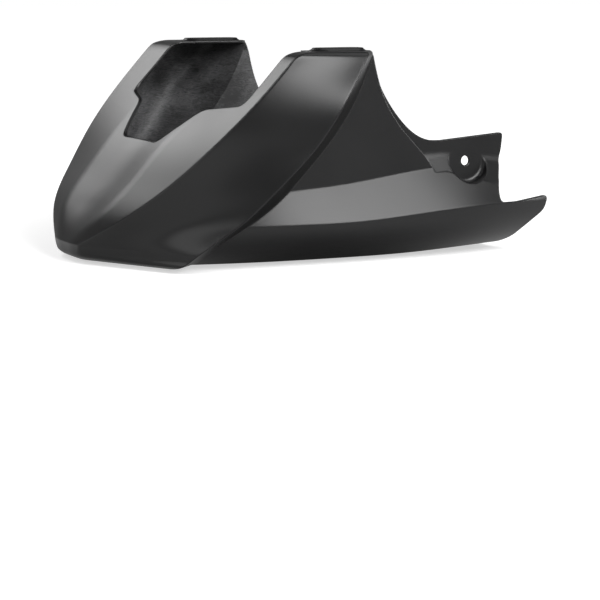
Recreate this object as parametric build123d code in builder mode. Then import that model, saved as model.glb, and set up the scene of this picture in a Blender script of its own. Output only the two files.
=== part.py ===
"""Motorcycle belly pan moulded as one shell. Nose toward -X, left side at -Y, floor at Z = 0."""
import math
import os

from build123d import *

# Overall size, with the pads on top of the flanges
length = 497
width = 407
height = 222
pad_height = 3
flange_z = height - pad_height

# Stretch of the stations below, which are drawn 497 long, 407 wide and 219 up to the flanges
kx = length / 497
ky = width / 407
kz = flange_z / 219

# Shell wall, and the same wall measured in plan, where most faces lean
wall = 3.0
plan_wall = 1.25 * wall

# Raised mounting pads on the flanges that close the two uprights
left_pad_length = 62
right_pad_length = 70
pad_width = 26
pad_corner = 8
pad_hole_d = 12
pad_rear_x = 23 * kx
pad_hole_x = -7 * kx
pad_y = 144 * ky
top_edge_r = 5
flange_margin = 3
flange_inner_y = pad_y - pad_width / 2 - flange_margin
flange_rear_x = pad_rear_x + flange_margin

# Left rear mount: a flat flange set in from the side panel, with a round pocket for the bolt head
left_hole_d = 10.5
left_hole_x = 149.5 * kx
left_hole_z = 100.8 * kz
left_datum_z = 95 * kz
pocket_r = 24
pocket_fillet = 5
pocket_reach = 60 * ky
flange_step = 7
return_wall = 1.5 * wall
return_set = 0.2 * wall

# Right rear mount: a hole in a flat spot face on the lower side
right_hole_d = 9
right_hole_x = 144.4 * kx
right_hole_y = 167 * ky
right_hole_z = 33 * kz
spot_r = 21
spot_depth = 4
spot_tilt = 34

# Front opening seen from the front: a notch, a shoulder and a window up each upright
notch_half = 44 * ky
notch_z = 122.5 * kz
shoulder_half = 80 * ky
shoulder_z = 158 * kz
window_z = 166 * kz
window_left = 151 * ky
window_right = 121 * ky
window_rear_x = -42 * kx
opening_r = 9

# Stations of the front plug: height, hood ridge x and y, front crease x and y,
# rear edge of the side band x and y, foot of the step behind that edge x and y
chin_stations = [
    (2.5, -238, 12, -236, 22, -180, 112, -112, 66),
    (5, -244, 15, -242, 27, -184, 126, -109, 74),
    (11, -249, 17, -247, 31, -179, 143, -103, 84),
    (20, -250, 18, -248, 33, -171, 157, -95, 93),
]
hood_stations = [
    chin_stations[-1],
    (48, -233, 46, -228, 87, -136, 174, -76, 128),
    (84, -202, 62, -194, 129, -101, 190, -42, 132),
    (124, -166, 66, -158, 157, -63, 198, -5, 130),
    (169, -117, 78, -116, 173, -33, 204, 28, 127),
    (219, -70, 90, -69, 176, 8, 183, 49, 124),
]
band_edge = [(s[5], s[0]) for s in chin_stations[2:3] + hood_stations]

# Stations of the side plug: x, floor height, flat half width, ledge lower line y and z, ledge top z
side_stations = [
    (-210, 3, 80, 146, 46, 72),
    (-66, -0.3, 91, 163, 45.5, 79),
    (8, -0.6, 95, 170, 46.5, 84),
    (95, -0.3, 96, 175, 53, 94.5),
    (178, 3, 95, 173, 57, 97),
    (262, 6, 92, 154, 55, 95),
]
panel_foot_y = 151 * ky
panel_top_y = 144.5 * ky
# Pull of the curve between floor and ledge line, where 0.55 is a quarter of an ellipse
roundness = 0.55

# Rear outline of the pan seen from the side: upright, ledge, horn and floor.
# The ledge's top and the horn differ left and right
upright_rear = [(33.5, 216), (37, 199), (44, 176), (57, 151), (75, 129), (98, 104.5)]
left_ledge_top = [(105, 95), (178, 97), (187, 97)]
right_ledge_top = [(163, 99), (185, 95.5)]
left_horn = [
    (177.5, 66), (178, 58), (199, 57), (246, 60.5), (248.5, 55), (243.5, 45), (228, 34), (218.5, 24),
    (215.5, 14), (213, -20),
]
right_horn = [
    (177.5, 72), (179, 63.5), (235, 64), (246.5, 56.5), (245, 50), (236, 44), (219, 34), (210, 25),
    (208, 15), (207, -20),
]

# Outline of the left rear flange seen from the side
flange_top = [(37.5, 208), (43, 188.5), (55, 165.5), (70, 146), (88, 130.5), (103, 124.5), (119, 123.5)]
flange_rear = [(196, 129), (199, 125), (196, 110), (192, 103)]
flange_front = [(104, 103), (70, 128), (52, 151), (39, 176), (32, 199), (31, 208)]


def unit(start, end):
    """Unit direction from one plan point to another."""
    dx, dy = end[0] - start[0], end[1] - start[1]
    size = math.hypot(dx, dy)
    return dx / size, dy / size


def inset_corner(before, here, after, inset):
    """Corner of a clockwise outline, moved so that both its edges move inward by the inset."""
    ax, ay = unit(before, here)
    bx, by = unit(here, after)
    turn = 1 + ax * bx + ay * by
    return here[0] + inset * (ay + by) / turn, here[1] - inset * (ax + bx) / turn


def front_outline(station, inset):
    """Plan outline of the front plug at one station, moved inward by the inset."""
    _, rx, ry, cx, cy, bx, by, fx, fy = station
    half = [(rx * kx, ry * ky), (cx * kx, cy * ky), (bx * kx, by * ky), (fx * kx, fy * ky)]
    points = half + [(x, -y) for x, y in reversed(half)]
    count = len(points)
    return [inset_corner(points[i - 1], points[i], points[(i + 1) % count], inset) for i in range(count)]


def front_plug(stations, inset, lift, top, edge_r=0):
    """Solid under the hood and the two side bands, its lowest station lifted and its top held down."""
    low, high = stations[0][0], stations[-1][0]
    with BuildPart() as plug:
        for station in stations:
            z = station[0] * kz + lift * (high - station[0]) / (high - low)
            with BuildSketch(Plane.XY.offset(min(z, top))):
                with BuildLine():
                    Polyline(*front_outline(station, inset), close=True)
                make_face()
        loft()
        if edge_r:
            fillet(plug.faces().sort_by(Axis.Z)[-1].edges(), edge_r)
    return plug.part


def side_plug(inset):
    """Solid of the floor, lower sides, ledges and side panels, running along X."""
    with BuildPart() as plug:
        for x, floor, flat, line_y, line_z, ledge_z in side_stations:
            floor_z = floor * kz + inset / 1.25
            flat_y = flat * ky
            line = (line_y * ky - inset, line_z * kz)
            foot = (panel_foot_y - inset, ledge_z * kz)
            top = (panel_top_y - inset, flange_z - inset / 1.25)
            reach = flat_y + roundness * (line[0] - flat_y)
            drop = line[1] - roundness * (line[1] - floor_z)
            with BuildSketch(Plane.YZ.offset(x * kx)):
                with BuildLine():
                    Line((-flat_y, floor_z), (flat_y, floor_z))
                    Bezier((flat_y, floor_z), (reach, floor_z), (line[0], drop), line)
                    Polyline(line, foot, top, (-top[0], top[1]), (-foot[0], foot[1]), (-line[0], line[1]))
                    Bezier((-line[0], line[1]), (-line[0], drop), (-reach, floor_z), (-flat_y, floor_z))
                make_face()
        loft()
    return plug.part & behind_band_edge()


def scaled(points):
    """Side view points stretched to the pan's length and height."""
    return [(x * kx, z * kz) for x, z in points]


def behind_band_edge():
    """Prism across the pan holding everything behind the rear edge of the side bands."""
    with BuildPart() as prism:
        with BuildSketch(Plane.XZ):
            with BuildLine():
                edge = Spline(*scaled(band_edge))
                far = length
                Polyline(edge @ 1, (far, height), (far, -height), ((edge @ 0).X, -height), edge @ 0)
            make_face()
        extrude(amount=width, both=True)
    return prism.part


def behind_rear_outline(ledge_top, horn, reach):
    """Prism of everything behind the rear outline, from the middle of the pan toward -Y by the reach."""
    with BuildPart() as prism:
        with BuildSketch(Plane.XZ):
            with BuildLine():
                sweep = Spline(*scaled(upright_rear))
                start = sweep @ 0
                Polyline(start, (start.X, 2 * height), (length, 2 * height), (length, -20 * kz),
                         *reversed(scaled(ledge_top + horn)), sweep @ 1)
            make_face()
        extrude(amount=reach)
    return prism.part


def flange_return():
    """Wall along the upright's rear edge, from the side panel in to the back of the left flange."""
    edge = scaled(upright_rear + left_ledge_top[:1])
    with BuildPart() as wall_strip:
        with BuildSketch(Plane.XZ.offset(panel_top_y - flange_step - wall)):
            with BuildLine():
                rear = Spline(*[(x - return_set, z) for x, z in edge])
                front = Spline(*[(x - return_wall, z) for x, z in edge])
                Line(rear @ 0, front @ 0)
                Line(rear @ 1, front @ 1)
            make_face()
        extrude(amount=width)
    return wall_strip.part & outer_side


def ledge_riser(depth):
    """Slab of a given depth that carries the left ledge on from its foot up to the flange."""
    near, rear = side_stations[3], side_stations[4]
    run = (rear[3] * ky - panel_foot_y) / ((rear[5] - rear[4]) * kz)
    foot_climb = (rear[5] - near[5]) * kz / ((rear[0] - near[0]) * kx)
    slant = math.hypot(1, run)
    in_y, in_z = depth / slant, -depth * run / slant
    foot = (-panel_foot_y, near[5] * kz)
    rise = (flange_step + wall / 2) / run
    head = (foot[0] + run * rise, foot[1] + rise)
    tail = (foot[0] - run * 2 * wall, foot[1] - 2 * wall)
    with BuildPart() as slab:
        with BuildSketch(Plane.YZ.offset(near[0] * kx)):
            with BuildLine():
                Polyline(foot, head, (head[0] + in_y, head[1] + in_z), (tail[0] + in_y, tail[1] + in_z),
                         (tail[0] + wall / 3, tail[1]), close=True)
            make_face()
        extrude(amount=(flange_rear[-2][0] - near[0]) * kx, dir=(1, 0, foot_climb))
        (low_x, low_z), (high_x, high_z) = scaled([left_ledge_top[-1], flange_rear[-2]])
        slant_normal = (high_z - low_z, 0, low_x - high_x)
        rear_slant = Plane(origin=(low_x, 0, low_z), x_dir=(0, 1, 0), z_dir=slant_normal)
        split(bisect_by=rear_slant, keep=Keep.BOTTOM)
    return slab.part


def front_opening():
    """Solid removed through the hood, and between the two top flanges behind it."""
    with BuildPart() as cut:
        with BuildSketch(Plane.YZ.offset(-length)):
            with BuildLine():
                Polyline(
                    (-window_left, 2 * height), (-window_left, window_z), (-shoulder_half, shoulder_z),
                    (-notch_half, notch_z), (notch_half, notch_z), (shoulder_half, shoulder_z),
                    (window_right, window_z), (window_right, 2 * height), close=True,
                )
            make_face()
            fillet([v for v in vertices() if v.Z < height], opening_r)
        extrude(amount=length + window_rear_x)
        with BuildSketch(Plane.XY.offset(flange_z - 4 * wall)):
            with Locations((window_rear_x, 0)):
                Rectangle(length, 2 * flange_inner_y, align=(Align.MIN, Align.CENTER))
            with Locations((flange_rear_x, 0)):
                Rectangle(length, 2 * (panel_top_y - wall), align=(Align.MIN, Align.CENTER))
        extrude(amount=height)
    return cut.part


outer_side = side_plug(0)
inner_side = side_plug(plan_wall)
behind_left = behind_rear_outline(left_ledge_top, left_horn, width)
behind_right = behind_rear_outline(right_ledge_top, right_horn, -width)

with BuildPart() as belly_pan:
    # Outer form, then the same form inset by the wall taken away
    add(front_plug(chin_stations, 0, 0, flange_z))
    add(front_plug(hood_stations, 0, 0, flange_z, top_edge_r))
    add(outer_side)
    add(front_plug(chin_stations, plan_wall, wall, flange_z), mode=Mode.SUBTRACT)
    add(front_plug(hood_stations, plan_wall, 0, flange_z - wall), mode=Mode.SUBTRACT)
    add(inner_side, mode=Mode.SUBTRACT)
    add(behind_left, mode=Mode.SUBTRACT)
    add(behind_right, mode=Mode.SUBTRACT)
    add(front_opening(), mode=Mode.SUBTRACT)
    # The underside is flat where the pan stands
    split(bisect_by=Plane.XY, keep=Keep.TOP)

    # Raised pads with their bolt holes
    for pad_length, y in ((left_pad_length, -pad_y), (right_pad_length, pad_y)):
        with BuildSketch(Plane.XY.offset(flange_z)):
            with Locations((pad_rear_x - pad_length / 2, y)):
                RectangleRounded(pad_length, pad_width, pad_corner)
        extrude(amount=pad_height)
    with Locations((pad_hole_x, -pad_y, height), (pad_hole_x, pad_y, height)):
        Hole(pad_hole_d / 2, depth=pad_height + 3 * wall)

    # Left rear flange, parallel to the side panel and set in from it, with the walls that join it
    flange_y = -(panel_foot_y - flange_step)
    lean = math.atan2(panel_foot_y - panel_top_y, flange_z - left_datum_z)
    flange_plane = Plane(
        origin=(0, flange_y, left_datum_z), x_dir=(1, 0, 0), z_dir=(0, -math.cos(lean), math.sin(lean))
    )
    with BuildSketch(flange_plane):
        with BuildLine():
            crest = Spline(*[(x, z - left_datum_z) for x, z in scaled(flange_top)])
            rest = [(x, z - left_datum_z) for x, z in scaled(flange_rear + flange_front)]
            Polyline(crest @ 1, *rest, crest @ 0)
        make_face()
    extrude(amount=-wall)
    add(ledge_riser(wall))
    add(flange_return())

    # Pocket round the flange hole, its wall kept inside the ledge and its riser
    with BuildPart(mode=Mode.PRIVATE) as boss:
        with BuildSketch(flange_plane.offset(-wall)):
            with Locations((left_hole_x, left_hole_z - left_datum_z)):
                Circle(pocket_r + wall)
        extrude(amount=pocket_reach)
    add((boss.part & outer_side) - behind_left)
    add(boss.part & ledge_riser(5 * wall))
    with BuildPart(mode=Mode.PRIVATE) as pocket:
        with BuildSketch(flange_plane):
            with Locations((left_hole_x, left_hole_z - left_datum_z)):
                Circle(pocket_r)
        extrude(amount=pocket_reach)
        fillet(pocket.edges().sort_by(Axis.Y)[-1], pocket_fillet)
    add(pocket.part, mode=Mode.SUBTRACT)
    with BuildSketch(flange_plane.offset(-3 * wall)):
        with Locations((left_hole_x, left_hole_z - left_datum_z)):
            Circle(left_hole_d / 2)
    extrude(amount=6 * wall, mode=Mode.SUBTRACT)

    # Flat spot face on the right lower side, with its hole
    tilt = math.radians(spot_tilt)
    spot_plane = Plane(
        origin=(right_hole_x, right_hole_y, right_hole_z),
        x_dir=(1, 0, 0),
        z_dir=(0, math.cos(tilt), -math.sin(tilt)),
    )
    with BuildPart(mode=Mode.PRIVATE) as spot_boss:
        with BuildSketch(spot_plane.offset(-spot_depth - wall)):
            Circle(spot_r + wall)
        extrude(amount=2 * spot_depth + wall)
    add(spot_boss.part & outer_side)
    with BuildSketch(spot_plane.offset(-spot_depth)):
        Circle(spot_r)
    extrude(amount=3 * spot_depth, mode=Mode.SUBTRACT)
    with BuildSketch(spot_plane.offset(-spot_depth - 2 * wall)):
        Circle(right_hole_d / 2)
    extrude(amount=3 * spot_depth, mode=Mode.SUBTRACT)

belly_pan.part.label = "belly_pan"
os.makedirs("parts", exist_ok=True)
export_step(belly_pan.part, "parts/belly_pan.step")
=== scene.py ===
"""Motorcycle belly pan: its moulded shell, the finishes of its two faces, and the studio it is shown in."""
import logging
import math
from dataclasses import dataclass, field
from enum import Enum
from typing import Sequence

import bmesh
import bpy
import numpy as np
from mathutils import Matrix, Vector


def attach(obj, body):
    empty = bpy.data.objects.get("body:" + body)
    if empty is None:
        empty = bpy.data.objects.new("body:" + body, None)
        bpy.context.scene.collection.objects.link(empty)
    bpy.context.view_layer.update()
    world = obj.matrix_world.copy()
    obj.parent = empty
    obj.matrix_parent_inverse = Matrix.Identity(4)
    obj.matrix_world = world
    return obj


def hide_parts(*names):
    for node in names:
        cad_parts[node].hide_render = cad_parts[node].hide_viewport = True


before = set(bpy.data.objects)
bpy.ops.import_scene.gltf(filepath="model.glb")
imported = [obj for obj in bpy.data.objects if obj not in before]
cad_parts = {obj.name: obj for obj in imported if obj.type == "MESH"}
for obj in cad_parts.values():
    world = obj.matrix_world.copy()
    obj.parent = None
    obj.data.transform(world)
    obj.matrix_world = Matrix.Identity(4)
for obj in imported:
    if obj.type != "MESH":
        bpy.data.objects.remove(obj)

LOG = logging.getLogger("belly_pan")
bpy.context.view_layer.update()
# Metres in a millimetre, steps round a turned solid, and the most of an edge that one rounding takes.
MM = 0.001
ROUND_STEPS = 72
EDGE_SHARE = 0.46
Flat = tuple[float, float]
Solid = tuple[float, float, float]
Object = bpy.types.Object
Tree = bpy.types.NodeTree
Socket = bpy.types.NodeSocket


class Skin(Enum):
    """Which finish a face takes: the smooth face from the mould, or the rough face of the lay-up."""

    OUTSIDE = 0
    INSIDE = 1


class Join(Enum):
    """How two solids are combined."""

    ADD = "UNION"
    CUT = "DIFFERENCE"
    KEEP = "INTERSECT"


class Sum(Enum):
    """How two numbers in a material are combined."""

    PRODUCT = "MULTIPLY"
    LARGER = "MAXIMUM"


class Along(Enum):
    """The axis that a flat outline is drawn out along."""

    X = 0
    Y = 1
    Z = 2


class Side(Enum):
    """Side of the pan, as the sign of Y."""

    LEFT = -1
    RIGHT = 1


class Curve:
    """Natural cubic curve through a few stations."""

    def __init__(self, knots: Sequence[float], values: Sequence[Sequence[float]]) -> None:
        """Work out the curve's second derivatives.

        Args:
            knots: Rising places of the stations.
            values: One row of values for each station.
        """
        self.knots = np.array(knots, float)
        self.values = np.array(values, float)
        count = len(self.knots)
        gaps = np.diff(self.knots)
        slopes = np.diff(self.values, axis=0) / gaps[:, None]
        system = np.eye(count)
        right = np.zeros_like(self.values)
        for i in range(1, count - 1):
            system[i, i - 1:i + 2] = gaps[i - 1], 2 * (gaps[i - 1] + gaps[i]), gaps[i]
            right[i] = 6 * (slopes[i] - slopes[i - 1])
        self.bends = np.linalg.solve(system, right)

    def __call__(self, place: float) -> np.ndarray:
        """Values at one place.

        Args:
            place: Place along the stations.

        Returns:
            The row of values there.
        """
        i = int(np.clip(np.searchsorted(self.knots, place) - 1, 0, len(self.knots) - 2))
        gap = self.knots[i + 1] - self.knots[i]
        b = (place - self.knots[i]) / gap
        a = 1 - b
        bend = ((a ** 3 - a) * self.bends[i] + (b ** 3 - b) * self.bends[i + 1]) * gap * gap / 6
        return a * self.values[i] + b * self.values[i + 1] + bend


def drawn_curve(points: Sequence[Flat], count: int) -> list[Flat]:
    """Smooth flat curve through a few points.

    Args:
        points: Points that the curve passes through.
        count: Number of points to return.

    Returns:
        Points along the curve, both ends included.
    """
    steps = np.linalg.norm(np.diff(np.array(points, float), axis=0), axis=1)
    lengths = np.concatenate([[0.0], np.cumsum(steps)])
    curve = Curve(lengths, points)
    return [tuple(curve(s)) for s in np.linspace(0, lengths[-1], count)]


def ramp(low: float, high: float, value: float) -> float:
    """Height at a value on a smooth step that rises from 0 at low to 1 at high."""
    t = min(max((value - low) / (high - low), 0.0), 1.0)
    return t * t * (3 - 2 * t)


@dataclass
class Corner:
    """One corner of an outline.

    Attributes:
        at: Place of the corner.
        cut: Length taken off the edges on both sides by its rounding.
        steps: Number of steps round the rounding.
        spans: Number of spans along the edge to the next corner.
    """

    at: Flat
    cut: float = 0.0
    steps: int = 5
    spans: int = 1


def rounded(corners: Sequence[Corner], closed: bool = True) -> list[Flat]:
    """Outline with rounded corners and divided edges.

    Args:
        corners: Corners in order.
        closed: Whether the last corner joins the first.

    Returns:
        Points of the outline.
    """
    count = len(corners)
    runs: list[list[np.ndarray]] = []
    for i, corner in enumerate(corners):
        here = np.array(corner.at, float)
        if corner.cut == 0 or (not closed and i in (0, count - 1)):
            runs.append([here])
            continue
        ends = []
        for other in (corners[i - 1], corners[(i + 1) % count]):
            edge = np.array(other.at, float) - here
            size = float(np.linalg.norm(edge))
            ends.append(here + edge / size * min(corner.cut, EDGE_SHARE * size))
        ts = np.linspace(0, 1, corner.steps + 1)
        runs.append([(1 - t) ** 2 * ends[0] + 2 * t * (1 - t) * here + t * t * ends[1] for t in ts])
    points: list[Flat] = []
    for i, run in enumerate(runs):
        points += [tuple(p) for p in run]
        if not closed and i == count - 1:
            break
        start, end = run[-1], runs[(i + 1) % count][0]
        for k in range(1, corners[i].spans):
            points.append(tuple(start + (end - start) * k / corners[i].spans))
    return points


def plain(points: Sequence[Flat], cut: float = 0.0) -> list[Corner]:
    """Corners at some points, all rounded alike."""
    return [Corner(p, cut) for p in points]


def mirrored(half: Sequence[Corner]) -> list[Corner]:
    """Half an outline's corners in reverse on the other side of the pan, for outlines drawn with Y second.

    Args:
        half: Corners on one side.

    Returns:
        Their mirror images, with each edge's spans kept.
    """
    back = list(reversed(half))
    spans = [c.spans for c in back[1:]] + [1]
    return [Corner((c.at[0], -c.at[1]), c.cut, c.steps, n) for c, n in zip(back, spans)]


class Workshop:
    """Makes solids in millimetres and combines them."""

    def __init__(self, materials: Sequence[bpy.types.Material]) -> None:
        """Keep the outside and the inside material, in the order of Skin."""
        self.materials = materials

    def solid(self, name: str, rings: Sequence[Sequence[Solid]], skin: Skin) -> Object:
        """Closed solid through a row of rings with as many points each.

        Args:
            name: Name of the solid.
            rings: Rings in order.
            skin: Finish of its faces.

        Returns:
            The new object.
        """
        size = len(rings[0])
        faces = [list(range(size)), list(range((len(rings) - 1) * size, len(rings) * size))]
        for r in range(len(rings) - 1):
            for i in range(size):
                j = (i + 1) % size
                faces.append([r * size + i, r * size + j, (r + 1) * size + j, (r + 1) * size + i])
        mesh = bpy.data.meshes.new(name)
        mesh.from_pydata([p for ring in rings for p in ring], [], faces)
        work = bmesh.new()
        work.from_mesh(mesh)
        bmesh.ops.recalc_face_normals(work, faces=work.faces)
        work.to_mesh(mesh)
        work.free()
        for material in self.materials:
            mesh.materials.append(material)
        mesh.polygons.foreach_set("material_index", [skin.value] * len(mesh.polygons))
        made = bpy.data.objects.new(name, mesh)
        bpy.context.scene.collection.objects.link(made)
        return made

    def prism(self, name: str, outline: Sequence[Flat], along: Along, low: float, high: float) -> Object:
        """Flat outline drawn out along an axis.

        Args:
            name: Name of the solid.
            outline: Points in the other two axes, in their order.
            along: Axis of the prism.
            low: Where it starts.
            high: Where it ends.

        Returns:
            The new object.
        """
        i = along.value
        rings = [[(*p[:i], place, *p[i:]) for p in outline] for place in (low, high)]
        return self.solid(name, rings, Skin.OUTSIDE)

    def turned(self, name: str, profile: Sequence[Flat], base: Vector, axis: Vector) -> Object:
        """Solid turned round an axis.

        Args:
            name: Name of the solid.
            profile: Radius and height of each ring.
            base: Point on the axis where the height is 0.
            axis: Direction of the axis.

        Returns:
            The new object.
        """
        turn = axis.normalized().to_track_quat("Z", "Y")
        rings = []
        for radius, rise in profile:
            ring = []
            for k in range(ROUND_STEPS):
                angle = math.tau * k / ROUND_STEPS
                point = Vector((radius * math.cos(angle), radius * math.sin(angle), rise))
                ring.append(tuple(base + turn @ point))
            rings.append(ring)
        return self.solid(name, rings, Skin.OUTSIDE)

    def drill(self, name: str, radius: float, reach: float, at: Vector, axis: Vector) -> Object:
        """Round drill that runs out to both sides of a point."""
        return self.turned(name, [(radius, -reach), (radius, reach)], at, axis)

    @staticmethod
    def combine(body: Object, tool: Object, how: Join) -> Object:
        """Combine a solid with a tool, which is used up.

        Args:
            body: Solid to change.
            tool: Solid to combine it with.
            how: Kind of combination.

        Returns:
            The changed solid.
        """
        change = body.modifiers.new("combine", "BOOLEAN")
        change.operation = how.value
        change.solver = "MANIFOLD"
        change.object = tool
        made = bpy.data.meshes.new_from_object(body.evaluated_get(bpy.context.evaluated_depsgraph_get()))
        body.modifiers.clear()
        old = body.data
        body.data = made
        bpy.data.meshes.remove(old)
        bpy.data.objects.remove(tool)
        return body


@dataclass
class Hood:
    """Front of the pan: hood, nose and the two side bands, drawn as plan outlines at rising heights.

    A station holds its height, then x and y of the hood's ridge, of the front crease, of the band's rear
    edge and of the foot of the step behind that edge.
    """

    chin: tuple[tuple[float, ...], ...] = (
        (2.5, -238, 12, -236, 22, -182, 118, -112, 66),
        (5, -244, 15, -242, 27, -183, 134, -109, 74),
        (11, -249, 17, -247, 31, -178, 147, -103, 84),
        (20, -250, 18, -248, 33, -171, 157, -95, 93),
    )
    upper: tuple[tuple[float, ...], ...] = (
        (20, -250, 18, -248, 33, -171, 157, -95, 93),
        (48, -233, 46, -228, 87, -136, 174, -76, 128),
        (84, -202, 62, -194, 129, -101, 190, -42, 132),
        (124, -166, 66, -158, 157, -63, 198, -5, 130),
        (169, -117, 78, -116, 173, -33, 204, 28, 127),
        (219, -70, 90, -69, 176, 8, 183, 49, 124),
    )
    plan_wall: float = 3.75
    hollow: float = 6.0
    hollow_full_z: float = 60.0
    hollow_share: float = 0.45
    ridge_cut: float = 10.0
    crease_cut: float = 2.4
    chin_cut: float = 9.0
    chin_soft_z: float = 18.0
    inner_cut: float = 18.0
    inner_soft_z: float = 40.0
    edge_cut: float = 1.6
    step_cut: float = 1.5
    shoulder_r: float = 28.0
    top_r: float = 5.0
    top_start: float = 12.0
    top_rings: int = 9
    chin_rings: int = 12
    turn_gap: float = 0.8
    level_step: float = 3.0
    floor_lift: float = 3.0
    band_points: int = 60

    def __post_init__(self) -> None:
        """Draw the curves through the stations."""
        whole = self.chin + self.upper[1:]
        self.low = self.chin[0][0]
        self.turn = self.chin[-1][0]
        self.top = self.upper[-1][0]
        self.chin_front = Curve([s[0] for s in self.chin], [s[1:5] for s in self.chin])
        self.upper_front = Curve([s[0] for s in self.upper], [s[1:5] for s in self.upper])
        self.band = Curve([s[0] for s in whole], [s[5:9] for s in whole])

    def outline(self, z: float, inset: float, inside: bool = False) -> list[Flat]:
        """Plan outline at one height.

        Args:
            z: Height of the outline.
            inset: Distance that all its edges are moved inward.
            inside: Whether it belongs to the hollow, which has softer creases.

        Returns:
            Points of the outline.
        """
        rx, ry, cx, cy = self.chin_front(z) if z < self.turn else self.upper_front(z)
        bx, by, fx, fy = self.band(z)
        dip = self.hollow * ramp(self.turn, self.hollow_full_z, z)
        blunt = 1 - ramp(self.low, self.chin_soft_z, z)
        crease = self.crease_cut + (self.chin_cut - self.crease_cut) * blunt
        back = self.shoulder(z)
        rx, cx = rx + back, cx + back
        edge = self.edge_cut
        if inside:
            soft = self.inner_cut * ramp(self.turn, self.inner_soft_z, z)
            crease, edge = max(crease, soft), max(edge, soft)
        half = [
            Corner((rx, ry), self.ridge_cut, steps=6, spans=4),
            Corner((cx, cy), crease, steps=6, spans=12),
            Corner((bx, by), edge, steps=5, spans=5),
            Corner((fx, fy), self.step_cut, steps=3, spans=3),
        ]
        loop = half + mirrored(half)
        loop[-1].spans = 3
        loop.append(Corner((rx + dip, 0.0), self.hollow_share * ry, steps=8, spans=3))
        places = [c.at for c in loop]
        for i, corner in enumerate(loop):
            before, after = places[i - 1], places[(i + 1) % len(places)]
            corner.at = self.moved_in(before, places[i], after, inset)
        return rounded(loop)

    def shoulder(self, z: float) -> float:
        """Distance that the rounding of the uprights' front corners takes off at a height.

        Args:
            z: Height of the outline.

        Returns:
            Distance toward the rear.
        """
        below, last = self.upper[-2], self.upper[-1]
        slope = math.atan2(last[0] - below[0], last[3] - below[3])
        drop = self.top - z
        if drop >= self.shoulder_r * (1 - math.cos(slope)):
            return 0.0
        turn = math.acos(1 - drop / self.shoulder_r)
        corner = self.shoulder_r * math.tan(slope / 2)
        return corner - self.shoulder_r * math.sin(turn) + drop / math.tan(slope)

    @staticmethod
    def moved_in(before: Flat, here: Flat, after: Flat, inset: float) -> Flat:
        """Corner of a clockwise outline with both its edges moved inward.

        Args:
            before: Corner before this one.
            here: The corner.
            after: Corner after this one.
            inset: Distance that the edges move.

        Returns:
            New place of the corner.
        """
        a = (Vector(here) - Vector(before)).normalized()
        b = (Vector(after) - Vector(here)).normalized()
        share = inset / (1 + a.dot(b))
        return here[0] + share * (a.y + b.y), here[1] - share * (a.x + b.x)

    def levels(self) -> list[float]:
        """Heights of the outlines below the rounded top edge."""
        chin = list(np.linspace(self.low, self.turn - self.turn_gap, self.chin_rings))
        start = self.top - self.top_r
        count = int((start - self.turn) / self.level_step)
        return chin + [self.turn] + list(np.linspace(self.turn + self.turn_gap, start, count))

    def outer(self, shop: Workshop) -> Object:
        """Solid of the outer form.

        Args:
            shop: Maker of solids.

        Returns:
            The new object.
        """
        rings = [[(x, y, z) for x, y in self.outline(z, 0.0)] for z in self.levels()]
        for angle in np.radians(np.linspace(self.top_start, 90, self.top_rings)):
            z = self.top - self.top_r * (1 - math.sin(angle))
            inset = self.top_r * (1 - math.cos(angle))
            rings.append([(x, y, z) for x, y in self.outline(z, inset)])
        return shop.solid("hood_outer", rings, Skin.OUTSIDE)

    def inner(self, shop: Workshop, wall: float) -> Object:
        """Solid of the hollow behind the outer form.

        Args:
            shop: Maker of solids.
            wall: Wall measured upright.

        Returns:
            The new object.
        """
        rings = []
        for z in self.levels() + [self.top - wall]:
            lift = self.floor_lift * max(self.turn - z, 0.0) / (self.turn - self.low)
            rings.append([(x, y, z + lift) for x, y in self.outline(z, self.plan_wall, inside=True)])
        return shop.solid("hood_inner", rings, Skin.INSIDE)

    def behind_band(self, shop: Workshop, reach: float) -> Object:
        """Prism holding everything behind the rear edge of the side bands.

        Args:
            shop: Maker of solids.
            reach: Distance that it runs out on every side.

        Returns:
            The new object.
        """
        start = self.chin[2][0]
        edge = [(float(self.band(z)[0]), z) for z in np.linspace(start, self.top, self.band_points)]
        rest = [(reach, self.top), (reach, -reach), (edge[0][0], -reach)]
        return shop.prism("behind_band", edge + rest, Along.Y, -reach, reach)


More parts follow.
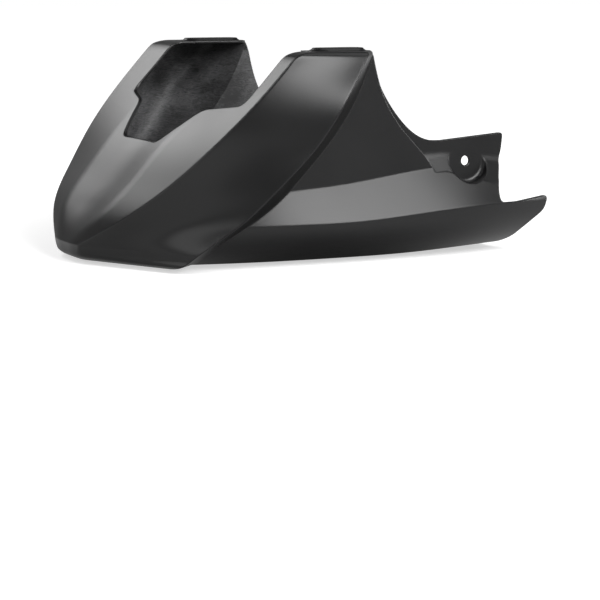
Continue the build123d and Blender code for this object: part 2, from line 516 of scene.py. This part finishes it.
@dataclass
class Flanks:
    """Floor, lower sides, ledges and side panels, drawn as cross sections along X.

    A station holds x, floor height, half width of the flat floor, y and z of the ledge's lower line, and z
    of the ledge's top.
    """

    stations: tuple[tuple[float, ...], ...] = (
        (-210, 3, 80, 146, 46, 72),
        (-66, -0.3, 91, 163, 45.5, 79),
        (8, -0.6, 95, 170, 46.5, 84),
        (95, -0.3, 96, 175, 53, 94.5),
        (178, 3, 95, 173, 57, 97),
        (262, 6, 92, 154, 55, 95),
    )
    panel_foot_y: float = 151.0
    panel_top_y: float = 144.5
    top: float = 219.0
    roundness: float = 0.55
    line_cut: float = 1.2
    foot_cut: float = 1.2
    curve_points: int = 19
    sections: int = 100

    def __post_init__(self) -> None:
        """Draw the curve through the stations."""
        self.curve = Curve([s[0] for s in self.stations], [s[1:] for s in self.stations])

    def section(self, x: float, inset: float, lift: float) -> list[Flat]:
        """Closed cross section at one place.

        Args:
            x: Place along the pan.
            inset: Distance that the sides are moved inward.
            lift: Distance that the floor is raised and the top lowered.

        Returns:
            Points of the section.
        """
        floor, flat, line_y, line_z, ledge_z = self.curve(x)
        floor += lift
        line = (line_y - inset, line_z)
        foot = (self.panel_foot_y - inset, ledge_z)
        head = (self.panel_top_y - inset, self.top - lift)
        reach = flat + self.roundness * (line[0] - flat)
        drop = line_z - self.roundness * (line_z - floor)
        half = [Corner((floor, flat))]
        for t in np.linspace(0, 1, self.curve_points)[1:-1]:
            weights = ((1 - t) ** 3, 3 * t * (1 - t) ** 2, 3 * t * t * (1 - t), t ** 3)
            y = float(np.dot(weights, (flat, reach, line[0], line[0])))
            z = float(np.dot(weights, (floor, floor, drop, line_z)))
            half.append(Corner((z, y)))
        half.append(Corner((line[1], line[0]), self.line_cut, steps=5, spans=9))
        half.append(Corner((foot[1], foot[0]), self.foot_cut, steps=5, spans=24))
        half.append(Corner((head[1], head[0]), spans=4))
        loop = half + mirrored(half)
        loop[-1].spans = 6
        return [(y, z) for z, y in rounded(loop)]

    def form(self, shop: Workshop, name: str, inset: float, lift: float, skin: Skin) -> Object:
        """Solid of the flanks.

        Args:
            shop: Maker of solids.
            name: Name of the solid.
            inset: Distance that the sides are moved inward.
            lift: Distance that the floor is raised and the top lowered.
            skin: Finish of its faces.

        Returns:
            The new object.
        """
        places = np.linspace(self.stations[0][0], self.stations[-1][0], self.sections)
        rings = [[(x, y, z) for y, z in self.section(x, inset, lift)] for x in places]
        return shop.solid(name, rings, skin)


@dataclass
class LeftMount:
    """Left rear flange set in from the side panel, with a round pocket for the bolt head."""

    edge: tuple[Flat, ...] = (
        (30.5, 236), (33.5, 216), (37, 199), (44, 176), (57, 151), (75, 129), (98, 104.5), (105, 95),
    )
    step: float = 7.0
    datum_z: float = 95.0
    ledge_x: float = 95.0
    ledge_foot_z: float = 94.5
    ledge_run: float = 0.575
    ledge_skim: float = 4.0
    skim_gain: float = 2.2
    skim_depth: float = 0.05
    foot_climb: float = 0.0301
    wall_dip: float = 0.3
    fall_x: float = 120.0
    end_x: float = 215.0
    bend_fall: float = 0.13
    bend_cut: float = 5.0
    edge_points: int = 60
    slab_lean: float = 8.0
    slab_drop: float = 30.0
    slab_reach: float = 320.0
    hole_x: float = 149.5
    hole_z: float = 100.8
    hole_r: float = 5.25
    pocket_r: float = 24.0
    pocket_fillet: float = 5.0
    pocket_clear: float = 0.02
    fillet_points: int = 8
    drill: float = 12.0
    reach: float = 110.0
    lean: float = field(init=False)

    def __post_init__(self) -> None:
        """Lean of the flange, which is that of the side panel."""
        flanks = Flanks()
        self.lean = (flanks.panel_foot_y - flanks.panel_top_y) / (flanks.top - self.datum_z)
        self.panel_y = flanks.panel_foot_y

    def face_y(self, z: float) -> float:
        """Y of the flange's outer face at a height."""
        return -(self.panel_y - self.step) + self.lean * (z - self.datum_z)

    def across(self, x: float, back: float) -> list[Flat]:
        """Cross section of the space outside the flange.

        Args:
            x: Place along the pan.
            back: Distance that its faces are moved into the pan.

        Returns:
            Points of the section.
        """
        climb = self.foot_climb * (x - self.ledge_x)
        drop = self.bend_fall * max(x - self.fall_x, 0.0)
        foot = (-self.panel_y + back, self.ledge_foot_z + climb - self.wall_dip * back)
        rise = self.step / (self.ledge_run - self.lean)
        bend = (foot[0] + self.ledge_run * rise - self.lean * drop, foot[1] + rise - drop)
        head = (bend[0] + self.lean * self.reach, bend[1] + self.reach)
        far = -self.panel_y - self.reach
        skim = self.ledge_skim + self.skim_gain * drop
        start = (foot[0] - self.ledge_run * skim + self.skim_depth, foot[1] - skim)
        return rounded([
            Corner((far, start[1])),
            Corner(start),
            Corner(bend, self.bend_cut, steps=6),
            Corner(head),
            Corner((far, head[1])),
        ])

    def clearing(self, shop: Workshop, back: float) -> Object:
        """Space outside the flange and behind the upright's edge.

        Args:
            shop: Maker of solids.
            back: Distance that its faces are moved into the pan.

        Returns:
            The new object.
        """
        places = (0.0, self.fall_x, self.end_x)
        rings = [[(x, y, z) for y, z in self.across(x, back)] for x in places]
        space = shop.solid("flange_space", rings, Skin.OUTSIDE)
        sweep = [(x - back, z) for x, z in drawn_curve(self.edge, self.edge_points)]
        low = self.ledge_foot_z - self.slab_drop
        far = self.slab_reach
        behind = sweep + [(sweep[-1][0] + self.slab_lean, low), (far, low), (far, sweep[0][1])]
        slab = shop.prism("behind_edge", behind, Along.Y, -far, 0.0)
        return shop.combine(space, slab, Join.KEEP)

    def axis(self) -> Vector:
        """Direction of the bolt, out of the flange."""
        return Vector((0, -1, self.lean)).normalized()

    def seat(self) -> Vector:
        """Middle of the hole on the flange's outer face."""
        return Vector((self.hole_x, self.face_y(self.hole_z), self.hole_z))

    def pocket(self, shop: Workshop) -> Object:
        """Space of the pocket, with its rounded floor.

        Args:
            shop: Maker of solids.

        Returns:
            The new object.
        """
        f, r = self.pocket_fillet, self.pocket_r
        bends = np.radians(np.linspace(0, 90, self.fillet_points))
        profile = [(r - f + f * math.sin(a), self.pocket_clear + f * (1 - math.cos(a))) for a in bends]
        return shop.turned("pocket", profile + [(r, self.reach)], self.seat(), self.axis())

    def boss(self, shop: Workshop, wall: float) -> Object:
        """Pocket with its wall round it."""
        r = self.pocket_r + wall
        return shop.turned("pocket_boss", [(r, -wall), (r, self.reach)], self.seat(), self.axis())

    def hole(self, shop: Workshop) -> Object:
        """Drill for the bolt hole."""
        return shop.drill("left_drill", self.hole_r, self.drill, self.seat(), self.axis())


@dataclass
class RightMount:
    """Right rear hole in a flat spot face on the lower side."""

    at: Solid = (144.4, 167.0, 33.0)
    tilt: float = 34.0
    spot_r: float = 21.0
    spot_depth: float = 4.0
    floor_in: float = 3.0
    bend_in: float = 1.2
    bend_up: float = 0.4
    wall_up: float = 1.6
    flare: float = 1.5
    hole_r: float = 4.5
    drill: float = 20.0

    def axis(self) -> Vector:
        """Direction of the bolt, out of the spot face."""
        angle = math.radians(self.tilt)
        return Vector((0, math.cos(angle), -math.sin(angle)))

    def spot(self, shop: Workshop) -> Object:
        """Space of the spot face.

        Args:
            shop: Maker of solids.

        Returns:
            The new object.
        """
        r, d = self.spot_r, self.spot_depth
        profile = [(r - self.floor_in, -d), (r - self.bend_in, self.bend_up - d)]
        profile += [(r, self.wall_up - d), (r + self.flare, 2 * d)]
        return shop.turned("spot_face", profile, Vector(self.at), self.axis())

    def boss(self, shop: Workshop, wall: float) -> Object:
        """Spot face with its wall round it."""
        r, d = self.spot_r + wall, self.spot_depth
        return shop.turned("spot_boss", [(r, -d - wall), (r, 3 * d)], Vector(self.at), self.axis())

    def hole(self, shop: Workshop) -> Object:
        """Drill for the bolt hole."""
        return shop.drill("right_drill", self.hole_r, self.drill, Vector(self.at), self.axis())


@dataclass
class RearEdge:
    """Rear outline of each side of the pan, seen from the side."""

    left_sweep: tuple[Flat, ...] = (
        (25, 220), (30, 218), (34, 213), (37.5, 205), (43, 188.5), (55, 165.5), (70, 146), (88, 130.5),
        (103, 124.5), (119, 123.5),
    )
    left_ledge: tuple[Flat, ...] = ((197.5, 129.3), (194.8, 110), (189.5, 95), (182.5, 81))
    right_sweep: tuple[Flat, ...] = (
        (25, 220), (29.5, 218), (33, 212.5), (37, 199), (44, 176), (57, 151), (75, 129), (98, 104.5),
        (120, 100.5),
    )
    right_ledge: tuple[Flat, ...] = ((163, 99), (185.5, 95.5))
    left_horn: tuple[Flat, ...] = (
        (177.5, 66), (178, 57.5), (199, 57), (248.4, 60.8), (243.5, 45), (228, 34), (218.5, 24),
        (215.5, 15), (211, 9), (211, -20),
    )
    right_horn: tuple[Flat, ...] = (
        (177.5, 72), (179, 63.5), (235, 64), (247, 56), (245, 50), (236, 44), (219, 34), (211, 26),
        (209, 17), (211, 9), (211, -20),
    )
    ledge_cut: float = 5.0
    horn_cut: float = 6.0
    sweep_points: int = 70

    def cutter(self, shop: Workshop, side: Side, reach: float) -> Object:
        """Space behind one side of the pan.

        Args:
            shop: Maker of solids.
            side: Side to cut.
            reach: Distance that it runs out.

        Returns:
            The new object.
        """
        left = side is Side.LEFT
        sweep = drawn_curve(self.left_sweep if left else self.right_sweep, self.sweep_points)
        ledge = self.left_ledge if left else self.right_ledge
        horn = self.left_horn if left else self.right_horn
        corners = [Corner((sweep[0][0], reach)), *plain(sweep), *plain(ledge, self.ledge_cut)]
        corners += [*plain(horn, self.horn_cut), Corner((reach, horn[-1][1])), Corner((reach, reach))]
        low, high = sorted((0.0, side.value * reach))
        return shop.prism(f"behind_{side.name.lower()}", rounded(corners), Along.Y, low, high)


@dataclass
class FrontOpening:
    """Notch, shoulders and window cut through the hood, and the gap between the two top flanges."""

    notch_half: float = 44.0
    notch_z: float = 122.5
    shoulder_half: float = 80.0
    shoulder_z: float = 158.0
    window_z: float = 166.0
    window_left: float = 151.0
    window_right: float = 121.0
    window_rear_x: float = -42.0
    corner_cut: float = 9.0
    flange_inner_y: float = 128.0
    flange_rear_x: float = 26.0
    flange_cut: float = 11.0
    panel_inner_y: float = 141.5
    flange_z: float = 207.0
    overlap: float = 1.0

    def cutters(self, shop: Workshop, reach: float) -> list[Object]:
        """Spaces to cut.

        Args:
            shop: Maker of solids.
            reach: Distance that they run out.

        Returns:
            The new objects.
        """
        low = [
            (-self.window_left, self.window_z), (-self.shoulder_half, self.shoulder_z),
            (-self.notch_half, self.notch_z), (self.notch_half, self.notch_z),
            (self.shoulder_half, self.shoulder_z), (self.window_right, self.window_z),
        ]
        left, right = Corner((-self.window_left, reach)), Corner((self.window_right, reach))
        outline = rounded([left, *plain(low, self.corner_cut), right])
        window = shop.prism("window", outline, Along.X, -reach, self.window_rear_x)
        half = [
            Corner((self.window_rear_x - self.overlap, self.flange_inner_y)),
            Corner((self.flange_rear_x, self.flange_inner_y), self.flange_cut, steps=8),
            Corner((self.flange_rear_x, self.panel_inner_y)),
            Corner((reach, self.panel_inner_y)),
        ]
        gap = shop.prism("flange_gap", rounded(half + mirrored(half)), Along.Z, self.flange_z, reach)
        return [window, gap]


@dataclass
class Pads:
    """Raised mounting pads on top of the two uprights."""

    left_length: float = 62.0
    right_length: float = 70.0
    width: float = 26.0
    height: float = 3.0
    corner: float = 12.0
    edge_drops: tuple[float, ...] = (1.2, 0.36, 0.0)
    edge_insets: tuple[float, ...] = (2.7, 3.1, 3.8)
    sink: float = 1.5
    rear_x: float = 23.0
    y: float = 144.0
    base_z: float = 219.0
    hole_x: float = -7.0
    hole_r: float = 6.0
    drill: float = 12.0

    def pad(self, shop: Workshop, side: Side) -> Object:
        """One pad with sloping sides and a soft top edge.

        Args:
            shop: Maker of solids.
            side: Side that it stands on.

        Returns:
            The new object.
        """
        size = self.left_length if side is Side.LEFT else self.right_length
        middle = side.value * self.y
        steps = [(-self.sink, 0.0), (0.0, 0.0)]
        steps += [(self.height - drop, inset) for drop, inset in zip(self.edge_drops, self.edge_insets)]
        rings = []
        for rise, inset in steps:
            front, rear = self.rear_x - size + inset, self.rear_x - inset
            half = self.width / 2 - inset
            low, high = middle - half, middle + half
            outline = [(front, low), (rear, low), (rear, high), (front, high)]
            corners = [Corner(p, self.corner, steps=8, spans=6) for p in outline]
            rings.append([(x, y, self.base_z + rise) for x, y in rounded(corners)])
        return shop.solid(f"pad_{side.name.lower()}", rings, Skin.OUTSIDE)

    def hole(self, shop: Workshop, side: Side) -> Object:
        """Drill for one pad's hole."""
        base = Vector((self.hole_x, side.value * self.y, self.base_z))
        return shop.drill("pad_drill", self.hole_r, self.drill, base, Vector((0, 0, 1)))


def new_material(name: str) -> tuple[bpy.types.Material, Tree, bpy.types.Node]:
    """New material with its node tree and its shader.

    Args:
        name: Name of the material.

    Returns:
        The material, its tree and its shader.
    """
    made = bpy.data.materials.new(name)
    made.use_nodes = True
    return made, made.node_tree, made.node_tree.nodes["Principled BSDF"]


def combined(tree: Tree, how: Sum, first: Socket, second: Socket) -> Socket:
    """Two sockets combined into one.

    Args:
        tree: Node tree to add to.
        how: Kind of combination.
        first: One number.
        second: The other number.

    Returns:
        The result's socket.
    """
    made = tree.nodes.new("ShaderNodeMath")
    made.operation = how.value
    tree.links.new(first, made.inputs[0])
    tree.links.new(second, made.inputs[1])
    return made.outputs["Value"]


def noise(tree: Tree, place: Socket, scale: float, detail: float) -> bpy.types.Node:
    """Noise texture.

    Args:
        tree: Node tree to add to.
        place: Socket of its coordinates.
        scale: Its scale.
        detail: Its number of finer layers.

    Returns:
        The new node.
    """
    made = tree.nodes.new("ShaderNodeTexNoise")
    made.inputs["Scale"].default_value = scale
    made.inputs["Detail"].default_value = detail
    tree.links.new(place, made.inputs["Vector"])
    return made


def toned(tree: Tree, value: Socket, places: Flat, colours: Sequence[Solid]) -> Socket:
    """Ramp from one colour to another.

    Args:
        tree: Node tree to add to.
        value: Socket that drives the ramp.
        places: Values at its ends.
        colours: Colours at its ends.

    Returns:
        The colour's socket.
    """
    made = tree.nodes.new("ShaderNodeValToRGB")
    for stop, at, colour in zip(made.color_ramp.elements, places, colours):
        stop.position = at
        stop.color = (*colour, 1)
    tree.links.new(value, made.inputs["Fac"])
    return made.outputs["Color"]


def bumped(tree: Tree, rise: Socket, strength: float, depth: float) -> bpy.types.Node:
    """Bump on a material's shader.

    Args:
        tree: Node tree to add to.
        rise: Socket of the height.
        strength: Strength of the bump.
        depth: Its depth in metres.

    Returns:
        The new node.
    """
    made = tree.nodes.new("ShaderNodeBump")
    made.inputs["Strength"].default_value = strength
    made.inputs["Distance"].default_value = depth
    tree.links.new(rise, made.inputs["Height"])
    tree.links.new(made.outputs["Normal"], tree.nodes["Principled BSDF"].inputs["Normal"])
    return made


@dataclass(frozen=True)
class SatinBlack:
    """Smooth black face from the mould, with a faint waviness and uneven sheen."""

    dark: Solid = (0.0055, 0.0055, 0.0058)
    light: Solid = (0.0075, 0.0075, 0.0078)
    tone_places: Flat = (0.3, 0.7)
    sheen_low: float = 0.29
    sheen_high: float = 0.35
    specular: float = 0.4
    cloud_scale: float = 14.0
    cloud_detail: float = 3.0
    edge_r: float = 0.0022
    edge_samples: int = 8
    peel_scale: float = 420.0
    peel_detail: float = 2.0
    peel_strength: float = 0.05
    peel_depth: float = 0.0006

    def material(self) -> bpy.types.Material:
        """Build the material."""
        made, tree, shader = new_material("satin_black")
        shader.inputs["Specular IOR Level"].default_value = self.specular
        place = tree.nodes.new("ShaderNodeTexCoord").outputs["Object"]
        cloud = noise(tree, place, self.cloud_scale, self.cloud_detail).outputs["Fac"]
        sheen = tree.nodes.new("ShaderNodeMapRange")
        sheen.inputs["To Min"].default_value = self.sheen_low
        sheen.inputs["To Max"].default_value = self.sheen_high
        tree.links.new(cloud, sheen.inputs["Value"])
        tree.links.new(sheen.outputs["Result"], shader.inputs["Roughness"])
        tone = toned(tree, cloud, self.tone_places, (self.dark, self.light))
        tree.links.new(tone, shader.inputs["Base Color"])
        edges = tree.nodes.new("ShaderNodeBevel")
        edges.samples = self.edge_samples
        edges.inputs["Radius"].default_value = self.edge_r
        peel = noise(tree, place, self.peel_scale, self.peel_detail).outputs["Fac"]
        bump = bumped(tree, peel, self.peel_strength, self.peel_depth)
        tree.links.new(edges.outputs["Normal"], bump.inputs["Normal"])
        return made


@dataclass(frozen=True)
class LaidFibre:
    """Rough inner face of the lay-up: black resin over a chopped glass mat that shows as pale streaks."""

    resin: Solid = (0.012, 0.012, 0.0125)
    fibre: Solid = (0.115, 0.115, 0.118)
    tone_places: Flat = (0.17, 0.4)
    roughness: float = 0.55
    lay: float = 12.0
    stretch: Solid = (0.5, 0.5, 2.0)
    patch_scale: float = 18.0
    patch_detail: float = 3.0
    patch_twist: float = 0.6
    strand_scale: float = 170.0
    strand_detail: float = 6.0
    strand_roughness: float = 0.75
    strand_twist: float = 2.2
    bump_strength: float = 0.6
    bump_depth: float = 0.0012

    def material(self) -> bpy.types.Material:
        """Build the material."""
        made, tree, shader = new_material("laid_fibre")
        shader.inputs["Roughness"].default_value = self.roughness
        place = tree.nodes.new("ShaderNodeTexCoord").outputs["Object"]
        patch = noise(tree, place, self.patch_scale, self.patch_detail)
        patch.inputs["Distortion"].default_value = self.patch_twist
        drawn = tree.nodes.new("ShaderNodeMapping")
        drawn.inputs["Rotation"].default_value = (0.0, math.radians(self.lay), 0.0)
        drawn.inputs["Scale"].default_value = self.stretch
        tree.links.new(place, drawn.inputs["Vector"])
        strands = noise(tree, drawn.outputs["Vector"], self.strand_scale, self.strand_detail)
        strands.inputs["Roughness"].default_value = self.strand_roughness
        strands.inputs["Distortion"].default_value = self.strand_twist
        blend = combined(tree, Sum.PRODUCT, patch.outputs["Fac"], strands.outputs["Fac"])
        tone = toned(tree, blend, self.tone_places, (self.resin, self.fibre))
        tree.links.new(tone, shader.inputs["Base Color"])
        bumped(tree, blend, self.bump_strength, self.bump_depth)
        return made


@dataclass
class BellyPan:
    """The whole pan, moulded as one shell."""

    wall: float = 3.0
    reach: float = 500.0
    smooth_angle: float = 32.0
    weld: float = 0.02
    hood: Hood = field(default_factory=Hood)
    flanks: Flanks = field(default_factory=Flanks)
    left_mount: LeftMount = field(default_factory=LeftMount)
    right_mount: RightMount = field(default_factory=RightMount)
    rear_edge: RearEdge = field(default_factory=RearEdge)
    opening: FrontOpening = field(default_factory=FrontOpening)
    pads: Pads = field(default_factory=Pads)

    def outer_form(self, shop: Workshop) -> Object:
        """Outer form with the spaces of both mounts cut into it.

        Args:
            shop: Maker of solids.

        Returns:
            The new object.
        """
        form = self.flanks.form(shop, "flanks_outer", 0.0, 0.0, Skin.OUTSIDE)
        shop.combine(form, self.hood.behind_band(shop, self.reach), Join.KEEP)
        shop.combine(form, self.hood.outer(shop), Join.ADD)
        shop.combine(form, self.left_mount.clearing(shop, 0.0), Join.CUT)
        shop.combine(form, self.left_mount.pocket(shop), Join.CUT)
        shop.combine(form, self.right_mount.spot(shop), Join.CUT)
        return form

    def hollow(self, shop: Workshop) -> Object:
        """Hollow of the pan, one wall inside the outer form.

        Args:
            shop: Maker of solids.

        Returns:
            The new object.
        """
        form = self.flanks.form(shop, "flanks_inner", self.hood.plan_wall, self.wall, Skin.INSIDE)
        shop.combine(form, self.hood.behind_band(shop, self.reach), Join.KEEP)
        shop.combine(form, self.hood.inner(shop, self.wall), Join.ADD)
        for tool in (
            self.left_mount.clearing(shop, self.wall),
            self.left_mount.boss(shop, self.wall),
            self.right_mount.boss(shop, self.wall),
        ):
            self.roughen(tool)
            shop.combine(form, tool, Join.CUT)
        return form

    @staticmethod
    def roughen(tool: Object) -> None:
        """Give a tool's faces the inner finish."""
        tool.data.polygons.foreach_set("material_index", [Skin.INSIDE.value] * len(tool.data.polygons))

    def build(self, shop: Workshop) -> Object:
        """Make the shell.

        Args:
            shop: Maker of solids.

        Returns:
            The new object, in metres.
        """
        shell = self.outer_form(shop)
        shell.name = "moulded_shell"
        shop.combine(shell, self.hollow(shop), Join.CUT)
        for side in Side:
            shop.combine(shell, self.rear_edge.cutter(shop, side, self.reach), Join.CUT)
        for tool in self.opening.cutters(shop, self.reach):
            shop.combine(shell, tool, Join.CUT)
        far = self.reach
        under = [(-far, -far), (far, -far), (far, far), (-far, far)]
        shop.combine(shell, shop.prism("under_floor", under, Along.Z, -far, 0.0), Join.CUT)
        for side in Side:
            shop.combine(shell, self.pads.pad(shop, side), Join.ADD)
            shop.combine(shell, self.pads.hole(shop, side), Join.CUT)
        for drill in (self.left_mount.hole(shop), self.right_mount.hole(shop)):
            shop.combine(shell, drill, Join.CUT)
        self.finish_mesh(shell)
        return shell

    def finish_mesh(self, shell: Object) -> None:
        """Clean the mesh, bring it to metres and smooth its shading.

        Args:
            shell: The pan.
        """
        mesh = shell.data
        work = bmesh.new()
        work.from_mesh(mesh)
        bmesh.ops.remove_doubles(work, verts=work.verts, dist=self.weld)
        work.to_mesh(mesh)
        work.free()
        mesh.transform(Matrix.Scale(MM, 4))
        mesh.shade_smooth()
        mesh.set_sharp_from_angle(angle=math.radians(self.smooth_angle))
        flats = shell.modifiers.new("flats", "WEIGHTED_NORMAL")
        flats.keep_sharp = True

    def dress(self, shell: Object) -> None:
        """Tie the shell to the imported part.

        Args:
            shell: The pan.
        """
        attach(shell, "root")
        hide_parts("belly_pan")


@dataclass(frozen=True)
class Softbox:
    """Soft rectangular lamp that the camera doesn't see.

    Attributes:
        name: Name of the lamp.
        at: Its place.
        size: Its width and length.
        power: Its power in watts.
    """

    name: str
    at: Solid
    size: Flat
    power: float

    def hang(self, aim: Solid) -> None:
        """Add the lamp to the scene.

        Args:
            aim: Point that it faces.
        """
        light = bpy.data.lights.new(self.name, "AREA")
        light.shape = "RECTANGLE"
        light.size, light.size_y = self.size
        light.energy = self.power
        made = bpy.data.objects.new(self.name, light)
        made.location = self.at
        made.rotation_euler = (Vector(aim) - Vector(self.at)).to_track_quat("-Z", "Y").to_euler()
        made.visible_camera = False
        bpy.context.scene.collection.objects.link(made)


@dataclass
class Studio:
    """Pale floor, white surroundings, softboxes on all sides and the camera."""

    camera_at: Solid = (-0.9610, -1.8279, 0.3006)
    azimuth: float = -28.43
    look_down: float = 9.93
    roll: float = 0.42
    lens: float = 113.6
    sensor: float = 36.0
    view_depth: float = 100.0
    floor_half: float = 12.0
    floor_colour: float = 0.65
    near_r: float = 0.2
    far_r: float = 1.1
    near_glow: float = 0.58
    # Painted shade and light of the floor in reflections: distance and level, dark under the pan as its
    # shadow.
    painted_mirror_stops: tuple[Flat, ...] = ((0.12, 0.05), (0.26, 0.85), (0.7, 1.0), (1.6, 0.3))
    mirror_squeeze: float = 0.75
    far_mirror: float = 0.3
    dim_from: float = 0.7
    ambient: float = 0.05
    aim: Solid = (0.0, 0.0, 0.1)
    softboxes: tuple[Softbox, ...] = (
        Softbox("left_softbox", (0.33, -1.28, 1.0), (1.1, 0.9), 29.0),
        Softbox("back_softbox", (-0.404, 1.408, 0.963), (0.7, 0.55), 5.0),
        Softbox("front_softbox", (-0.79, 0.14, 1.49), (0.5, 0.5), 5.5),
        Softbox("top_softbox", (0.55, 0.0, 1.65), (1.0, 1.0), 3.0),
        Softbox("nose_fill", (-1.5, -0.3, 0.75), (1.4, 1.0), 7.0),
        Softbox("rear_fill", (1.55, -0.5, 0.45), (0.4, 0.5), 6.0),
    )

    @staticmethod
    def stepped(tree: Tree, value: Socket, places: Flat, levels: Flat) -> Socket:
        """Smooth step from one level to another.

        Args:
            tree: Node tree to add to.
            value: Socket that drives the step.
            places: Values where it starts and ends.
            levels: Levels at both ends.

        Returns:
            The level's socket.
        """
        step = tree.nodes.new("ShaderNodeMapRange")
        step.interpolation_type = "SMOOTHSTEP"
        step.inputs["From Min"].default_value, step.inputs["From Max"].default_value = places
        step.inputs["To Min"].default_value, step.inputs["To Max"].default_value = levels
        tree.links.new(value, step.inputs["Value"])
        return step.outputs["Result"]

    def painted_mirror_level(self, tree: Tree, place: Socket) -> Socket:
        """Painted floor in reflections: painted shadow under the pan, painted lamp light round it, fading
        far off.

        Args:
            tree: Node tree to add to.
            place: Socket of the place on the floor.

        Returns:
            The level's socket.
        """
        last = self.painted_mirror_stops[-1][0]
        squeeze = tree.nodes.new("ShaderNodeMapping")
        squeeze.inputs["Scale"].default_value = (self.mirror_squeeze / last, 1 / last, 1)
        tree.links.new(place, squeeze.inputs["Vector"])
        span = tree.nodes.new("ShaderNodeVectorMath")
        span.operation = "LENGTH"
        tree.links.new(squeeze.outputs["Vector"], span.inputs[0])
        level = tree.nodes.new("ShaderNodeValToRGB")
        level.color_ramp.interpolation = "EASE"
        stops = level.color_ramp.elements
        while len(stops) < len(self.painted_mirror_stops):
            stops.new(0.5)
        for stop, (distance, shade) in zip(stops, self.painted_mirror_stops):
            stop.position = distance / last
            stop.color = (shade, shade, shade, 1)
        tree.links.new(span.outputs["Value"], level.inputs["Fac"])
        return level.outputs["Color"]

    def floor_material(self) -> bpy.types.Material:
        """Pale floor that keeps the shadow and goes white round it, with painted shade in reflections."""
        pale, tree, shader = new_material("pale_floor")
        shader.inputs["Base Color"].default_value = (*[self.floor_colour] * 3, 1)
        shader.inputs["Roughness"].default_value = 1.0
        shader.inputs["Specular IOR Level"].default_value = 0.0
        shader.inputs["Emission Color"].default_value = (1, 1, 1, 1)
        place = tree.nodes.new("ShaderNodeTexCoord")
        span = tree.nodes.new("ShaderNodeVectorMath")
        span.operation = "LENGTH"
        tree.links.new(place.outputs["Object"], span.inputs[0])
        path = tree.nodes.new("ShaderNodeLightPath")
        rim = (self.near_r, self.far_r)
        glow = self.stepped(tree, span.outputs["Value"], rim, (self.near_glow, 1.0))
        shown = combined(tree, Sum.PRODUCT, glow, path.outputs["Is Camera Ray"])
        tree.links.new(shown, shader.inputs["Emission Strength"])
        # Reflections see this glow instead of the lit floor, with the pan's shadow and the lamps' falloff
        # painted in.
        painted_mirror_glow = tree.nodes.new("ShaderNodeEmission")
        tree.links.new(self.painted_mirror_level(tree, place.outputs["Object"]), painted_mirror_glow.inputs["Color"])
        both = tree.nodes.new("ShaderNodeMixShader")
        glossy, clear = path.outputs["Is Glossy Ray"], path.outputs["Is Transmission Ray"]
        tree.links.new(combined(tree, Sum.LARGER, glossy, clear), both.inputs[0])
        tree.links.new(shader.outputs["BSDF"], both.inputs[1])
        tree.links.new(painted_mirror_glow.outputs["Emission"], both.inputs[2])
        tree.links.new(both.outputs["Shader"], tree.nodes["Material Output"].inputs["Surface"])
        return pale

    def floor(self) -> None:
        """Flat square floor."""
        half = self.floor_half
        corners = [(-half, -half, 0), (half, -half, 0), (half, half, 0), (-half, half, 0)]
        mesh = bpy.data.meshes.new("floor")
        mesh.from_pydata(corners, [], [(0, 1, 2, 3)])
        made = bpy.data.objects.new("floor", mesh)
        bpy.context.scene.collection.objects.link(made)
        mesh.materials.append(self.floor_material())

    def surroundings(self) -> None:
        """White round the horizon for the camera, dimmer overhead and in reflections."""
        world = bpy.data.worlds.new("studio")
        bpy.context.scene.world = world
        world.use_nodes = True
        tree = world.node_tree
        shade = tree.nodes["Background"]
        shade.inputs["Color"].default_value = (1, 1, 1, 1)
        place = tree.nodes.new("ShaderNodeTexCoord")
        split = tree.nodes.new("ShaderNodeSeparateXYZ")
        tree.links.new(place.outputs["Generated"], split.inputs["Vector"])
        fade = self.stepped(tree, split.outputs["Z"], (0.0, self.dim_from), (1.0, self.ambient))
        path = tree.nodes.new("ShaderNodeLightPath")
        level = self.stepped(tree, path.outputs["Is Camera Ray"], (0.0, 1.0), (self.far_mirror, 1.0))
        tree.links.new(combined(tree, Sum.PRODUCT, fade, level), shade.inputs["Strength"])

    def camera(self) -> None:
        """Camera at the viewing angle."""
        a, e, r = (math.radians(v) for v in (self.azimuth, self.look_down, self.roll))
        back = Vector((math.sin(a) * math.cos(e), -math.cos(a) * math.cos(e), math.sin(e)))
        right = Vector((math.cos(a), math.sin(a), 0))
        up = back.cross(right)
        right, up = right * math.cos(r) + up * math.sin(r), up * math.cos(r) - right * math.sin(r)
        lens = bpy.data.cameras.new("camera")
        lens.lens = self.lens
        lens.sensor_width = self.sensor
        lens.clip_end = self.view_depth
        made = bpy.data.objects.new("camera", lens)
        turn = Matrix((right, up, back)).transposed().to_4x4()
        made.matrix_world = Matrix.Translation(self.camera_at) @ turn
        bpy.context.scene.collection.objects.link(made)
        bpy.context.scene.camera = made

    def build(self) -> None:
        """Set up the whole studio."""
        self.floor()
        self.surroundings()
        for softbox in self.softboxes:
            softbox.hang(self.aim)
        self.camera()
        bpy.context.scene.view_settings.view_transform = "Standard"


def main() -> None:
    """Build the pan and its studio."""
    logging.basicConfig(level=logging.INFO, format="%(name)s: %(message)s")
    shop = Workshop([SatinBlack().material(), LaidFibre().material()])
    pan = BellyPan()
    shell = pan.build(shop)
    pan.dress(shell)
    LOG.info("%s: %d vertices, %d faces", shell.name, len(shell.data.vertices), len(shell.data.polygons))
    Studio().build()
    LOG.info("studio: %d lamps", len(bpy.data.lights))


if __name__ == "__main__":
    main()
